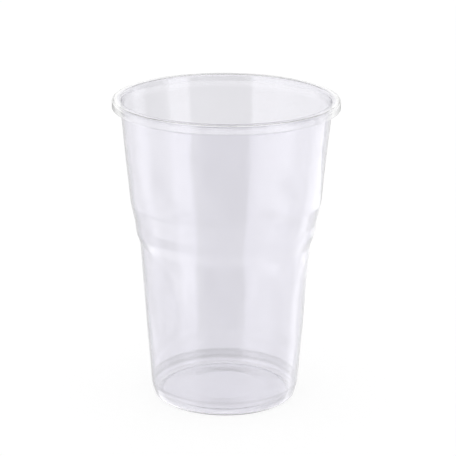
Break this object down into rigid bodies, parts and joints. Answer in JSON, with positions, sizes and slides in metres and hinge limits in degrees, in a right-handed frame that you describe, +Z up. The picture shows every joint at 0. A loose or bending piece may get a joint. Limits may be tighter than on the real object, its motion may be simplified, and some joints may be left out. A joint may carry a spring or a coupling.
{
  "type": "clear plastic tumbler",
  "caption": "Clear disposable drinking tumbler: thin tapered wall with a stepped grip band, turned-down rim for a push-on lid, rounded heel and a raised base inside a narrow foot ring.",
  "frame": {"origin": "centre of the foot, on the surface that the tumbler stands on", "axes": "+Z up along the tumbler's axis, out of its mouth; the form is round, so X and Y are free, with the picture's camera on -Y"},
  "size_m": [0.095, 0.095, 0.13],
  "materials": {
    "clear_plastic": "clear, glossy, faint lavender grey"
  },
  "bodies": {
    "root": {"cup": "clear_plastic"}
  },
  "joints": []
}
